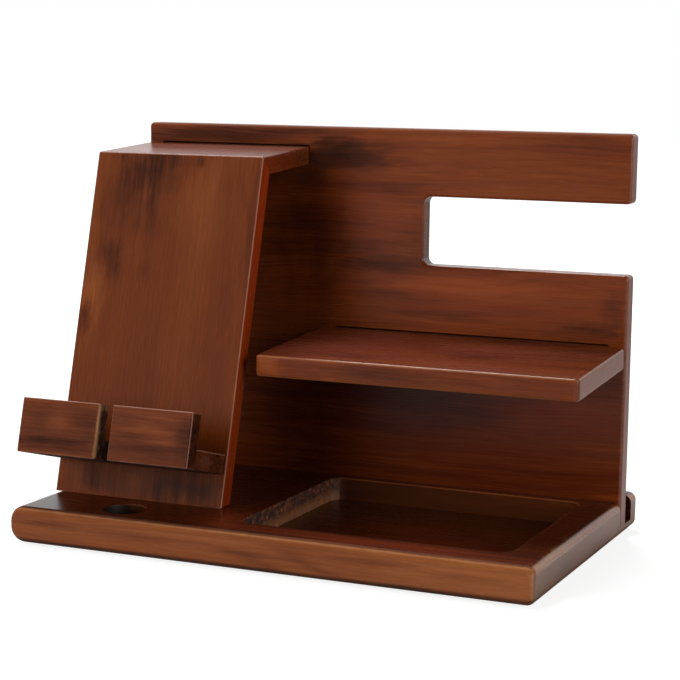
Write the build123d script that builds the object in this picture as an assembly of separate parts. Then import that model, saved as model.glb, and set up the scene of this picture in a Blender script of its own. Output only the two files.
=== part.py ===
from build123d import *
import os
from math import cos, radians, sin, tan

os.makedirs("parts", exist_ok=True)

# Charging station organizer in stained and varnished wood.
# A thick base board carries an upright back panel. A leaning phone stand and a small shelf
# push into slots of the panel, and a phone rest pushes into the stand.
# X runs to the right, Y to the back and Z up. Lengths are in millimetres, angles in degrees.
# The origin is on the table, under the middle of the base board.

# Base board, a plank whose left end is rounded more than its right end
base_length = 300.0
base_depth = 190.0
base_thickness = 20.0
base_left_radius = 8.5
base_right_radius = 4.5
base_edge_radius = 3.5

# Tray pocket, routed into the right of the base board
tray_length = 150.5
tray_width = 125.0
tray_depth = 13.0
tray_corner_radius = 8.0
tray_right_margin = 20.0
tray_front_margin = 22.0

# Round recess in front of the phone stand
recess_radius = 11.5
recess_depth = 12.0
recess_left_margin = 60.8
recess_front_margin = 21.0

# Groove along the back of the base board: the panel stands against its front wall, and the
# room behind the panel holds a tablet or a notebook on edge
rear_lip_thickness = 13.0
groove_width = 22.5
groove_depth = 14.0
rim_radius = 0.8

# Foot pads, stuck under the corners of the base board
pad_radius = 6.0
pad_height = 2.0
pad_margin = 16.0
pad_edge = 0.4

# Back panel
panel_length = 298.0
panel_height = 218.0
panel_thickness = 12.0
panel_corner_radius = 2.5
panel_edge_radius = 1.8
arm_height = 38.0
notch_height = 39.0
notch_length = 120.8
notch_corner_radius = 4.0

# Countersunk wood screws, driven up through the base board into the panel's lower edge
screw_count = 3
screw_spacing = 110.0
screw_length = 25.0
screw_radius = 2.0
screw_tip_length = 5.0
screw_head_radius = 3.8
screw_head_height = 2.4
screw_head_rim = 0.5
screw_sink = 0.3
screw_cross_length = 4.2
screw_cross_width = 1.0
screw_cross_depth = 1.6
screw_hole_clearance = 0.15
screw_bite_clearance = 0.03
screw_hole_end = 1.0

# Shelf, from beside the phone stand to the panel's right end. It hangs a little low at the
# front because its tongue is loose in the slot
shelf_gap = 8.8
shelf_depth = 87.4
shelf_thickness = 12.0
shelf_height = 87.6
shelf_inset = 0.3
shelf_droop = 3.4
shelf_corner_radius = 3.0
shelf_edge_radius = 1.5
shelf_shoulder = 10.0

# Phone stand: a leaning backrest and a cap, mitred together
stand_width = 105.0
stand_thickness = 10.5
stand_inset = 0.4
stand_reach = 60.0
stand_edge_radius = 1.0
backrest_lean = 15.0
cap_drop = 11.8
cap_slope = 3.5
cap_shoulder = 9.0

# Phone rest: a ledge square to the backrest, with two lip blocks and a gap for the cable
rest_height = 18.5
rest_shift = 1.7
ledge_depth = 33.5
ledge_thickness = 11.0
ledge_shoulder = 13.0
lip_height = 30.0
lip_thickness = 9.0
rest_edge_radius = 0.7
cable_gap = 8.0
cable_gap_end = 4.0

# Fits of the tongues in their slots
slot_clearance = 0.3
slot_side_play = 0.4
slot_corner_radius = 0.9
seat_gap = 0.2
tongue_setback = 0.5
tongue_edge = 0.6

# Dowels, hidden in the glued joints
dowel_radius = 2.0
dowel_clearance = 0.05
dowel_end_gap = 0.5
mitre_dowel_count = 3
mitre_dowel_length = 8.0
mitre_dowel_margin = 17.5
lip_dowel_depth = 5.0
ledge_dowel_depth = 9.0
lip_dowel_margin = 10.0

# How far a cut runs past the face that it opens, and how near an edge is to the place asked for
overrun = 5.0
touch = 0.01

# Places worked out from the sizes
underside = pad_height
table_top = underside + base_thickness
base_right = base_length / 2
base_rear = base_depth / 2
groove_rear = base_rear - rear_lip_thickness
groove_front = groove_rear - groove_width
groove_floor = table_top - groove_depth

panel_right = base_right
panel_left = panel_right - panel_length
panel_front = groove_front
panel_rear = panel_front + panel_thickness
panel_middle = panel_front + panel_thickness / 2
panel_top = groove_floor + panel_height
notch_top = panel_top - arm_height
notch_bottom = notch_top - notch_height
notch_left = panel_right - notch_length

stand_left = panel_left + stand_inset
stand_right = stand_left + stand_width

tray_right = base_right - tray_right_margin
tray_left = tray_right - tray_length
tray_front = -base_rear + tray_front_margin
tray_rear = tray_front + tray_width

shelf_right = panel_right - shelf_inset
shelf_left = stand_right + shelf_gap
droop = radians(shelf_droop)
shelf_back = panel_front - seat_gap - shelf_thickness * sin(droop)
shelf_top = table_top + shelf_height
shelf_tongue_length = panel_thickness + seat_gap - tongue_setback

slope = radians(cap_slope)
lean = radians(backrest_lean)
crest_y = panel_front - stand_reach
crest_z = panel_top - cap_drop - stand_reach * tan(slope)
crotch_y = crest_y + stand_thickness * (cos(slope) - sin(lean)) / cos(slope + lean)
crotch_z = crest_z + stand_thickness * (sin(slope) - cos(lean)) / cos(slope + lean)
foot_front = crest_y - (crest_z - table_top) * tan(lean)
foot_rear = foot_front + stand_thickness / cos(lean)

rest_left = stand_left - rest_shift
rest_right = rest_left + stand_width
gap_left = (rest_left + rest_right - cable_gap) / 2
gap_right = gap_left + cable_gap
lip_back = -ledge_depth
lip_front = lip_back - lip_thickness


def bar(x_low, x_high, y_low, y_high, z_low, z_high):
    """A square-edged bar between two opposite corners."""
    corner = (Align.MIN, Align.MIN, Align.MIN)
    return Pos(x_low, y_low, z_low) * Box(x_high - x_low, y_high - y_low, z_high - z_low, align=corner)


def edges_at(shape, axis, place):
    """The edges whose middle lies at one place along an axis."""
    return shape.edges().filter_by_position(axis, place - touch, place + touch)


def between(place, low, high):
    """Whether a place lies inside a span, its ends included."""
    return low - touch <= place <= high + touch


def cap_top_at(y):
    """Height of the cap's upper face at a distance along Y."""
    return crest_z + (y - crest_y) * tan(slope)


def spread(count, low, high):
    """Places spread evenly from low to high."""
    step = (high - low) / max(count - 1, 1)
    return [low + step * index for index in range(count)]


def screw_places():
    """Where the screws stand along the panel."""
    reach = screw_spacing * (screw_count - 1) / 2
    return spread(screw_count, -reach, reach)


def screw_body(extra):
    """A countersunk screw pointing up from Z = 0, made larger all round by extra."""
    shank = screw_radius + extra
    head = screw_head_radius + extra
    profile = Polyline(
        (0, 0),
        (head, 0),
        (head, screw_head_rim),
        (shank, screw_head_height),
        (shank, screw_length - screw_tip_length),
        (0, screw_length),
        close=True,
    )
    return revolve(Plane.XZ * make_face(profile), axis=Axis.Z)


def place_screws(shape):
    """The same shape at the place of each screw, its head just inside the underside."""
    return [Pos(x, panel_middle, underside + screw_sink) * shape for x in screw_places()]


def make_plank():
    """The base board before anything is cut into it: rounded ends, then eased arrises all round
    its front and its back."""
    plank = bar(-base_right, base_right, -base_rear, base_rear, underside, table_top)
    plank = fillet(edges_at(plank, Axis.X, -base_right).filter_by(Axis.Y), base_left_radius)
    plank = fillet(edges_at(plank, Axis.X, base_right).filter_by(Axis.Y), base_right_radius)
    arrises = edges_at(plank, Axis.Y, -base_rear) + edges_at(plank, Axis.Y, base_rear)
    return fillet(arrises, base_edge_radius)


def make_base_board():
    """The base: a rounded plank with the tray, the recess, the groove and the screw holes."""
    board = make_plank()

    tray = bar(tray_left, tray_right, tray_front, tray_rear, table_top - tray_depth, table_top + overrun)
    board -= fillet(tray.edges().filter_by(Axis.Z), tray_corner_radius)

    recess_x = -base_right + recess_left_margin
    recess_y = -base_rear + recess_front_margin
    recess = Cylinder(recess_radius, recess_depth + overrun, align=(Align.CENTER, Align.CENTER, Align.MIN))
    board -= Pos(recess_x, recess_y, table_top - recess_depth) * recess

    board -= bar(
        -base_right - overrun,
        base_right + overrun,
        groove_front,
        groove_rear,
        groove_floor,
        table_top + overrun,
    )

    def is_rim(edge):
        middle = edge.center()
        in_tray = between(middle.X, tray_left, tray_right) and between(middle.Y, tray_front, tray_rear)
        from_recess = max(abs(middle.X - recess_x), abs(middle.Y - recess_y))
        at_lip = between(middle.Y, groove_rear, groove_rear)
        return in_tray or from_recess <= recess_radius + touch or at_lip

    board = fillet(edges_at(board, Axis.Z, table_top).filter_by(is_rim), rim_radius)

    head_reach = screw_head_radius + screw_hole_clearance
    mouth = Cylinder(head_reach, screw_sink + overrun, align=(Align.CENTER, Align.CENTER, Align.MAX))
    for hole in place_screws(screw_body(screw_hole_clearance) + mouth):
        board -= hole
    return board


def make_foot_pads():
    """Four round pads under the base board, one to each corner."""
    pad = Cylinder(pad_radius, pad_height, align=(Align.CENTER, Align.CENTER, Align.MIN))
    pad = chamfer(edges_at(pad, Axis.Z, 0), pad_edge)
    x = base_right - pad_margin
    y = base_rear - pad_margin
    return {
        "foot_pad_front_left": Pos(-x, -y, 0) * pad,
        "foot_pad_front_right": Pos(x, -y, 0) * pad,
        "foot_pad_rear_left": Pos(-x, y, 0) * pad,
        "foot_pad_rear_right": Pos(x, y, 0) * pad,
    }


def make_panel_screws():
    """The screws that hold the panel in its groove, with a cross in each head."""
    screw = screw_body(0)
    half_length = screw_cross_length / 2
    half_width = screw_cross_width / 2
    screw -= bar(-half_length, half_length, -half_width, half_width, -overrun, screw_cross_depth)
    screw -= bar(-half_width, half_width, -half_length, half_length, -overrun, screw_cross_depth)
    return Compound(children=place_screws(screw))


def shelf_slot():
    """The slot for the shelf's tongue, tall enough for the tongue to lie at its droop."""
    low = shelf_top - shelf_thickness * cos(droop) - slot_clearance
    high = shelf_top + (panel_rear - shelf_back) * sin(droop) + slot_clearance
    left = shelf_left + shelf_shoulder - slot_side_play
    right = shelf_right - shelf_shoulder + slot_side_play
    slot = bar(left, right, panel_front - overrun, panel_rear + overrun, low, high)
    return fillet(slot.edges().filter_by(Axis.Y), slot_corner_radius)


def cap_slot():
    """The slot for the cap's tongue, which has a shoulder at its left end only."""
    low = cap_top_at(panel_front) - stand_thickness / cos(slope) - slot_clearance
    high = cap_top_at(panel_rear) + slot_clearance
    left = stand_left + cap_shoulder - slot_side_play
    right = stand_right + slot_side_play
    slot = bar(left, right, panel_front - overrun, panel_rear + overrun, low, high)
    return fillet(slot.edges().filter_by(Axis.Y), slot_corner_radius)


def make_back_panel():
    """The upright panel, with a notch open to the right and the slots of the two tongues."""
    panel = bar(panel_left, panel_right, panel_front, panel_rear, groove_floor, panel_top)
    notch = bar(
        notch_left,
        panel_right + overrun,
        panel_front - overrun,
        panel_rear + overrun,
        notch_bottom,
        notch_top,
    )
    inner_corners = edges_at(notch, Axis.X, notch_left).filter_by(Axis.Y)
    panel -= fillet(inner_corners, notch_corner_radius)

    def is_outer_corner(edge):
        middle = edge.center()
        at_end = between(middle.X, panel_left, panel_left) or between(middle.X, panel_right, panel_right)
        return at_end and middle.Z > groove_floor + touch

    corners = panel.edges().filter_by(Axis.Y).filter_by(is_outer_corner)
    panel = fillet(corners, panel_corner_radius)

    def is_above_groove(edge):
        return edge.center().Z > groove_floor + touch

    rims = edges_at(panel, Axis.Y, panel_front) + edges_at(panel, Axis.Y, panel_rear)
    panel = fillet(rims.filter_by(is_above_groove), panel_edge_radius)

    panel -= shelf_slot()
    panel -= cap_slot()
    bore_length = screw_length + screw_sink + screw_hole_end
    bore = Cylinder(
        screw_radius + screw_bite_clearance,
        bore_length,
        align=(Align.CENTER, Align.CENTER, Align.MIN),
    )
    for x in screw_places():
        panel -= Pos(x, panel_middle, underside) * bore
    return panel


def make_shelf_board():
    """The shelf, with a tongue along its back that pushes into the panel."""
    board = bar(shelf_left, shelf_right, -shelf_depth, 0, -shelf_thickness, 0)
    board = fillet(board.edges().filter_by(Axis.Z), shelf_corner_radius)
    board = fillet(board.edges().filter_by(Axis.Z, reverse=True), shelf_edge_radius)
    tongue = bar(
        shelf_left + shelf_shoulder,
        shelf_right - shelf_shoulder,
        -shelf_edge_radius,
        shelf_tongue_length,
        -shelf_thickness,
        0,
    )
    board += chamfer(edges_at(tongue, Axis.Y, shelf_tongue_length), tongue_edge)
    return Pos(0, shelf_back, shelf_top) * Rot(shelf_droop, 0, 0) * board


def make_stand_blank():
    """Backrest and cap in one piece, before the mitre parts them."""
    tongue_end = panel_rear - tongue_setback
    cap_rise = stand_thickness / cos(slope)
    outline = Polyline(
        (crest_y, crest_z),
        (tongue_end, cap_top_at(tongue_end)),
        (tongue_end, cap_top_at(tongue_end) - cap_rise),
        (crotch_y, crotch_z),
        (foot_rear, table_top),
        (foot_front, table_top),
        close=True,
    )
    blank = extrude(Plane.YZ.offset(stand_left) * make_face(outline), stand_width)
    arrises = edges_at(blank, Axis.X, stand_left) + edges_at(blank, Axis.X, stand_right)
    arrises += edges_at(blank, Axis.Z, crest_z).filter_by(Axis.X)
    blank = fillet(arrises, stand_edge_radius)
    blank -= bar(
        stand_left - overrun,
        stand_left + cap_shoulder,
        panel_front - seat_gap,
        panel_rear + overrun,
        cap_top_at(panel_front) - cap_rise - overrun,
        cap_top_at(panel_rear) + overrun,
    )
    return blank


def mitre_plane():
    """The plane between cap and backrest, facing the cap."""
    across = (0, crest_z - crotch_z, crotch_y - crest_y)
    return Plane(origin=(0, crest_y, crest_z), x_dir=(1, 0, 0), z_dir=across)


def place_mitre_dowels(radius, length):
    """One pin of this size across the mitre at each dowel's place."""
    centre = Vector(0, (crest_y + crotch_y) / 2, (crest_z + crotch_z) / 2)
    pin = Cylinder(radius, length)
    places = spread(mitre_dowel_count, stand_left + mitre_dowel_margin, stand_right - mitre_dowel_margin)
    plane = mitre_plane()
    return [Plane(centre + Vector(x, 0, 0), plane.x_dir, plane.z_dir).location * pin for x in places]


def rest_place():
    """Where the rest lies: X along it, Y into the backrest and Z up the backrest's face."""
    foot = Vector(0, foot_front, table_top)
    up = Vector(0, sin(lean), cos(lean))
    return Plane(origin=foot + up * rest_height, x_dir=(1, 0, 0), z_dir=up).location


def place_lip_dowels(radius, extra):
    """The pins between the lip blocks and the ledge, in the rest's own frame."""
    length = lip_dowel_depth + ledge_dowel_depth + 2 * extra
    pin = Rot(90, 0, 0) * Cylinder(radius, length)
    middle = lip_back + (ledge_dowel_depth - lip_dowel_depth) / 2
    height = ledge_thickness / 2
    pins = []
    for low, high in ((rest_left, gap_left), (gap_right, rest_right)):
        pins += [Pos(x, middle, height) * pin for x in (low + lip_dowel_margin, high - lip_dowel_margin)]
    return pins


def make_phone_stand():
    """The cap, the backrest with the mortise for the rest, and the dowels of the mitre."""
    blank = make_stand_blank()
    plane = mitre_plane()
    cap = split(blank, bisect_by=plane, keep=Keep.TOP)
    backrest = split(blank, bisect_by=plane, keep=Keep.BOTTOM)
    holes = place_mitre_dowels(dowel_radius + dowel_clearance, mitre_dowel_length + 2 * dowel_end_gap)
    for hole in holes:
        cap -= hole
        backrest -= hole

    shoulder = ledge_shoulder - rest_shift - slot_side_play
    mortise = bar(
        stand_left + shoulder,
        stand_right - shoulder,
        -overrun,
        stand_thickness + overrun,
        -slot_clearance,
        ledge_thickness + slot_clearance,
    )
    mortise = fillet(mortise.edges().filter_by(Axis.Y), slot_corner_radius)
    backrest -= rest_place() * mortise
    dowels = Compound(children=place_mitre_dowels(dowel_radius, mitre_dowel_length))
    return {"cap_board": cap, "backrest_board": backrest, "mitre_dowels": dowels}


def make_lip_block(left, right):
    """One lip block, its arrises eased where they don't meet the ledge."""
    block = bar(left, right, lip_front, lip_back, 0, lip_height)

    def is_free(edge):
        return edge.center().Y < lip_back - touch

    return fillet(block.edges().filter_by(is_free), rest_edge_radius)


def make_phone_rest():
    """The ledge with its tongue and cable gap, the two lip blocks and their dowels."""
    ledge = bar(rest_left, rest_right, lip_back, 0, 0, ledge_thickness)
    ledge = fillet(ledge.edges().filter_by(Axis.Y), rest_edge_radius)
    tongue_length = stand_thickness - tongue_setback
    tongue = bar(
        rest_left + ledge_shoulder,
        rest_right - ledge_shoulder,
        -cable_gap_end,
        tongue_length,
        0,
        ledge_thickness,
    )
    ledge += chamfer(edges_at(tongue, Axis.Y, tongue_length), tongue_edge)
    ledge -= bar(gap_left, gap_right, lip_back - overrun, -cable_gap_end, -overrun, ledge_thickness + overrun)
    left_lip = make_lip_block(rest_left, gap_left)
    right_lip = make_lip_block(gap_right, rest_right)
    for hole in place_lip_dowels(dowel_radius + dowel_clearance, dowel_end_gap):
        ledge -= hole
        left_lip -= hole
        right_lip -= hole
    place = rest_place()
    return {
        "rest_ledge": place * ledge,
        "lip_block_left": place * left_lip,
        "lip_block_right": place * right_lip,
        "lip_dowels": Compound(children=[place * pin for pin in place_lip_dowels(dowel_radius, 0)]),
    }


pieces = {
    "base_board": make_base_board(),
    "back_panel": make_back_panel(),
    "panel_screws": make_panel_screws(),
    "shelf_board": make_shelf_board(),
}
pieces.update(make_foot_pads())
pieces.update(make_phone_stand())
pieces.update(make_phone_rest())

for name, piece in pieces.items():
    export_step(piece, f"parts/{name}.step")
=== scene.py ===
import math

import bmesh
import bpy
from mathutils import Euler, Matrix, Vector, noise as lumps


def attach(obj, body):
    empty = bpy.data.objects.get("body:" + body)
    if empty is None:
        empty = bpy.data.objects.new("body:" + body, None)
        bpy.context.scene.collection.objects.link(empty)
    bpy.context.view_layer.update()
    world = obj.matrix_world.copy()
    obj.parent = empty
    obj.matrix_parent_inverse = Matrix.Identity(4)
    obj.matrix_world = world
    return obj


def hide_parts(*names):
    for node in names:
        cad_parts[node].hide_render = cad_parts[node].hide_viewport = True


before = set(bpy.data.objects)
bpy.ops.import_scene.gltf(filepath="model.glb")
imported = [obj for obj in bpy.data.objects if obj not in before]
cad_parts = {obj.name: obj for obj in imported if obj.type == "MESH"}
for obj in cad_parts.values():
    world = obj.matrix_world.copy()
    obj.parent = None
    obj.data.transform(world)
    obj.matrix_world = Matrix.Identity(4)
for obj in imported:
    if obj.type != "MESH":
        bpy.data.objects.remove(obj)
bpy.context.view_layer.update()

# Lengths are in millimetres until they reach Blender, which works in metres. Inside the shaders
# they are in metres, and noise is counted in lumps per metre.
MM = 0.001

# Axes, as places in a vector
X, Y, Z = 0, 1, 2

# The part's own sizes and places, which new pieces and materials follow

# Base board, with its tray, recess, groove and screw holes
BASE_LOW = (-150, -95, 2)
BASE_HIGH = (150, 95, 22)
BASE_TOP = BASE_HIGH[Z]
BASE_LEFT_RADIUS = 8.5
BASE_RIGHT_RADIUS = 4.5
BASE_EDGE = 3.5
RIM = 0.8
TRAY_LOW = (-20.5, -73, 9)
TRAY_HIGH = (130, 52, BASE_TOP)
TRAY_CORNER = 8.0
RECESS_PLACE = (-89.2, -74)
RECESS_RADIUS = 11.5
RECESS_FLOOR = 10.0
GROOVE_FRONT = 59.5
GROOVE_REAR = 82.0
GROOVE_FLOOR = 8.0
SCREW_PLACES = (-110, 0, 110)
SCREW_ROW = 65.5
SCREW_MOUTH = 3.95
SCREW_MOUTH_DEPTH = 0.8
SCREW_CONE = 1.9
SCREW_BORE = 2.15

# Back panel
PANEL_LOW = (-148, GROOVE_FRONT, GROOVE_FLOOR)
PANEL_HIGH = (150, 71.5, 226)

# Shelf, which is measured from its own origin, at the top of its rear edge
SHELF_ORIGIN = (0, 58.588, 109.6)
SHELF_DROOP = 3.4
SHELF_LOW = (-33.8, -87.4, -12)
SHELF_HIGH = (149.7, 30, 0)

# Phone stand: the backrest is measured from its foot, the cap from its crest
STAND_LEFT = -147.6
STAND_RIGHT = -42.6
BACKREST_FOOT = (0, -51.016, BASE_TOP)
BACKREST_LEAN = 15.0
BACKREST_LENGTH = 195.2
CREST = (0, -0.5, 210.53)
CAP_SLOPE = 3.5

# Phone rest, measured from its own origin, where the ledge's underside meets the backrest. Its
# tongue hangs lower by nearly the slot's clearance, so that no light comes through under it.
REST_ORIGIN = (0, -46.228, 39.870)
LIP_LEFT = -149.3
LIP_RIGHT = -44.3
GAP_LEFT = -100.8
GAP_RIGHT = -92.8
LIP_FRONT = -42.5
LIP_BACK = -33.5
LIP_HEIGHT = 30.0
LEDGE_THICKNESS = 11.0
LEDGE_SHOULDER = 13.0
TONGUE_START = -1.0
TONGUE_END = 10.0
TONGUE_SAG = 0.28
GAP_END = -4.0
REST_EDGE = 0.7
TONGUE_EDGE = 0.6
DOWEL_BORE = 2.05
DOWEL_MARGIN = 10.0
LIP_DOWEL = 5.5
LEDGE_DOWEL = 9.5

# How far a cut runs past the face that it opens, and how near a face or an edge has to be to the
# place asked for
OVERRUN = 5.0
NEAR = 0.01

# How nearly an edge or a face's normal runs along an axis, as a share of its length
STRAIGHT = 0.99
ROUGHLY = 0.9
PARTLY = 0.5

# How many steps the rounded forms have
RIM_STEPS = 3
END_STEPS = 12
ARRIS_STEPS = 6
CORNER_STEPS = 8
REST_EDGE_STEPS = 3
TONGUE_EDGE_STEPS = 1
BORE_SIDES = 32
RECESS_SIDES = 48

# Torn faces: how fine their coarse and fine lumps are, per metre, and what each adds
COARSE_TEAR = 240
FINE_TEAR = 900
COARSE_SHARE = 0.65
FINE_SHARE = 0.35

# Faces that meet at less than this angle, in degrees, are shaded as one
SMOOTH_ANGLE = 32


def metres(place):
    """A place in millimetres as a vector in metres."""
    return Vector(place) * MM


# Shader nodes


def add(tree, kind, inputs=None, **settings):
    """A node with its settings; each input is a value or a socket to join to it."""
    node = tree.nodes.new(kind)
    for name, value in settings.items():
        setattr(node, name, value)
    for name, value in (inputs or {}).items():
        if isinstance(value, bpy.types.NodeSocket):
            tree.links.new(value, node.inputs[name])
        else:
            node.inputs[name].default_value = value
    return node


def maths(tree, operation, *values):
    """One step of arithmetic on sockets or numbers."""
    return add(tree, "ShaderNodeMath", dict(enumerate(values)), operation=operation).outputs[0]


def vectors(tree, operation, *values):
    """One step of arithmetic on vectors."""
    node = add(tree, "ShaderNodeVectorMath", dict(enumerate(values)), operation=operation)
    return node.outputs["Value"] if operation == "LENGTH" else node.outputs["Vector"]


def ease(tree, value, start, end):
    """A smooth step from 0 at start to 1 at end."""
    inputs = {"Value": value, "From Min": start, "From Max": end}
    node = add(tree, "ShaderNodeMapRange", inputs, interpolation_type="SMOOTHSTEP")
    return node.outputs["Result"]


def ease_over(tree, length, start, end):
    """A smooth step between two places that are given in millimetres."""
    return ease(tree, length, start * MM, end * MM)


def noise(tree, vector, stretch, detail=2.0, roughness=0.5):
    """Noise with its own number of lumps per metre along X, Y and Z, about 0.5 in the middle."""
    scaled = vectors(tree, "MULTIPLY", vector, stretch)
    inputs = {"Vector": scaled, "Scale": 1.0, "Detail": detail, "Roughness": roughness}
    return add(tree, "ShaderNodeTexNoise", inputs)


def blend(tree, amount, low, high, way="MIX"):
    """Two colours mixed by an amount from 0 to 1."""
    node = add(tree, "ShaderNodeMix", {"Factor": amount}, data_type="RGBA", blend_type=way)
    for socket, value in ((node.inputs[6], low), (node.inputs[7], high)):
        if isinstance(value, bpy.types.NodeSocket):
            tree.links.new(value, socket)
        else:
            socket.default_value = (*value, 1)
    return node.outputs[2]


def ramp(tree, amount, stops):
    """Colours along a scale from 0 to 1, given as (place, colour) pairs."""
    node = add(tree, "ShaderNodeValToRGB", {"Fac": amount})
    points = node.color_ramp.elements
    while len(points) < len(stops):
        points.new(1.0)
    for point, (place, colour) in zip(points, stops):
        point.position = place
        point.color = (*colour, 1)
    return node.outputs["Color"]


def about_zero(tree, value):
    """Noise, which lies about 0.5, moved down so that it lies about 0."""
    return maths(tree, "SUBTRACT", value, 0.5)


def start_group(name, given, results):
    """An empty node group: given names its inputs with their defaults, results its outputs."""
    tree = bpy.data.node_groups.new(name, "ShaderNodeTree")
    for label, value in given.items():
        kind = "NodeSocketFloat" if isinstance(value, float) else "NodeSocketVector"
        socket = tree.interface.new_socket(label, in_out="INPUT", socket_type=kind)
        socket.default_value = value
    for label in results:
        tree.interface.new_socket(label, in_out="OUTPUT", socket_type="NodeSocketFloat")
    return tree, tree.nodes.new("NodeGroupInput").outputs, tree.nodes.new("NodeGroupOutput").inputs


def place_group(tree, group, inputs):
    """A node group placed in a material, as its outputs."""
    node = tree.nodes.new("ShaderNodeGroup")
    node.node_tree = group
    for name, value in inputs.items():
        if isinstance(value, bpy.types.NodeSocket):
            tree.links.new(value, node.inputs[name])
        else:
            node.inputs[name].default_value = value
    return node.outputs


# Planed wood: how far noise bends the grain, in millimetres, and what its layers look like
WANDER = 12.0
FINE_GRAIN = (16, 800, 800)
GROWTH_LINES = 9.0
GROWTH_LINE_WIDTH = 0.30
MIDDLE_SHADE = 0.5
STROKE_DEPTH = -0.4

# The height of the noise where these start to show, and where they show in full
LINES_SHOW = (0.45, 0.65)
STROKES_SHOW = (0.62, 0.74)
SPECKS_SHOW = (0.56, 0.66)


def make_wood_grain():
    """Figure, bands, growth lines, fine streaks and strokes of planed wood, grain along X."""
    given = {"Vector": (0, 0, 0), "Figure": 0.5, "Bands": 0.3, "Lines": 0.2, "Streaks": 0.3}
    tree, start, end = start_group("wood_grain", given, ("Shade", "Strokes", "Fibre", "Height"))
    place = start["Vector"]
    drift = noise(tree, place, (6, 14, 14), 2.0).outputs["Color"]
    drift = vectors(tree, "SUBTRACT", drift, (0.5, 0.5, 0.5))
    drift = vectors(tree, "MULTIPLY", drift, metres((WANDER, WANDER, WANDER)))
    flow = vectors(tree, "ADD", place, drift)

    def layer(stretch, detail, roughness, strength):
        lump = noise(tree, flow, stretch, detail, roughness).outputs[0]
        return maths(tree, "MULTIPLY", about_zero(tree, lump), start[strength])

    figure = layer((3, 24, 24), 3.0, 0.5, "Figure")
    bands = layer((7, 120, 120), 3.0, 0.6, "Bands")
    streaks = layer(FINE_GRAIN, 3.0, 0.6, "Streaks")

    # Growth lines follow the level lines of slow noise, and only show where another noise is high
    level = noise(tree, flow, (3.5, 38, 38), 1.0).outputs[0]
    level = maths(tree, "FRACT", maths(tree, "MULTIPLY", level, GROWTH_LINES))
    line = ease(tree, maths(tree, "ABSOLUTE", about_zero(tree, level)), GROWTH_LINE_WIDTH, 0.0)
    busy = ease(tree, noise(tree, place, (7, 30, 30), 1.0).outputs[0], *LINES_SHOW)
    line = maths(tree, "MULTIPLY", maths(tree, "MULTIPLY", line, busy), start["Lines"])

    shade = maths(tree, "ADD", maths(tree, "ADD", figure, bands), MIDDLE_SHADE)
    shade = maths(tree, "ADD", maths(tree, "SUBTRACT", shade, line), streaks)
    strokes = noise(tree, flow, (60, 1300, 1300), 1.0).outputs[0]
    fine = noise(tree, flow, FINE_GRAIN, 2.0, 0.6).outputs[0]
    tree.links.new(shade, end["Shade"])
    tree.links.new(ease(tree, strokes, *STROKES_SHOW), end["Strokes"])
    tree.links.new(noise(tree, flow, (9, 210, 210), 3.0, 0.6).outputs[0], end["Fibre"])
    tree.links.new(maths(tree, "MULTIPLY_ADD", strokes, STROKE_DEPTH, fine), end["Height"])
    return tree


# How far noise and fibres move the outline of a patch, and where it ends, as shares of its size
PATCH_UNEVEN = 1.1
PATCH_FIBRE = 1.3
PATCH_END = 1.15


def make_patch():
    """A soft patch: 1 at its centre, 0 outside its size, with an outline drawn out by the fibres."""
    given = {"Vector": (0, 0, 0), "Centre": (0, 0, 0), "Size": (1, 1, 1), "Fibre": 0.5}
    tree, start, end = start_group("soft_patch", given, ("Mask",))
    away = vectors(tree, "DIVIDE", vectors(tree, "SUBTRACT", start["Vector"], start["Centre"]), start["Size"])
    reach = vectors(tree, "LENGTH", away)
    uneven = noise(tree, away, (2.5, 2.5, 2.5), 2.0).outputs[0]
    reach = maths(tree, "MULTIPLY_ADD", about_zero(tree, uneven), PATCH_UNEVEN, reach)
    reach = maths(tree, "MULTIPLY_ADD", about_zero(tree, start["Fibre"]), PATCH_FIBRE, reach)
    tree.links.new(ease(tree, reach, PATCH_END, 0.0), end["Mask"])
    return tree


def within_box(tree, start):
    """How deep a place is between the low and high sides of a box, along each axis."""
    inner = vectors(tree, "SUBTRACT", start["Vector"], start["Low"])
    outer = vectors(tree, "SUBTRACT", start["High"], start["Vector"])
    return vectors(tree, "MINIMUM", inner, outer)


def make_inside():
    """1 inside a box, 0 outside it."""
    given = {"Vector": (0, 0, 0), "Low": (0, 0, 0), "High": (1, 1, 1)}
    tree, start, end = start_group("inside_box", given, ("Mask",))
    x, y, z = add(tree, "ShaderNodeSeparateXYZ", {"Vector": within_box(tree, start)}).outputs
    least = maths(tree, "MINIMUM", maths(tree, "MINIMUM", x, y), z)
    tree.links.new(maths(tree, "GREATER_THAN", least, 0.0), end["Mask"])
    return tree


# Wear and painted highlight along an arris: its least width and what noise adds to it, as shares of
# the width given, and how near the edge, as a share of that width, it is full
ARRIS_LEAST = 0.65
ARRIS_SPREAD = 0.7
ARRIS_FULL = 0.35


def make_arris():
    """Nearness to the edges of a box: 1 on an edge, 0 at the width given, uneven, for worn arrises and
    painted highlights.
    """
    given = {"Vector": (0, 0, 0), "Low": (0, 0, 0), "High": (1, 1, 1), "Width": 0.002}
    tree, start, end = start_group("arris_wear_and_highlight", given, ("Mask",))
    near = vectors(tree, "ABSOLUTE", within_box(tree, start))
    x, y, z = add(tree, "ShaderNodeSeparateXYZ", {"Vector": near}).outputs
    closer = maths(tree, "MINIMUM", x, y)
    farther = maths(tree, "MAXIMUM", x, y)
    second = maths(tree, "MAXIMUM", closer, maths(tree, "MINIMUM", farther, z))
    uneven = noise(tree, start["Vector"], (160, 160, 160), 2.0).outputs[0]
    share = maths(tree, "MULTIPLY_ADD", uneven, ARRIS_SPREAD, ARRIS_LEAST)
    width = maths(tree, "MULTIPLY", start["Width"], share)
    tree.links.new(ease(tree, maths(tree, "DIVIDE", second, width), 1.0, ARRIS_FULL), end["Mask"])
    return tree


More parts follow.
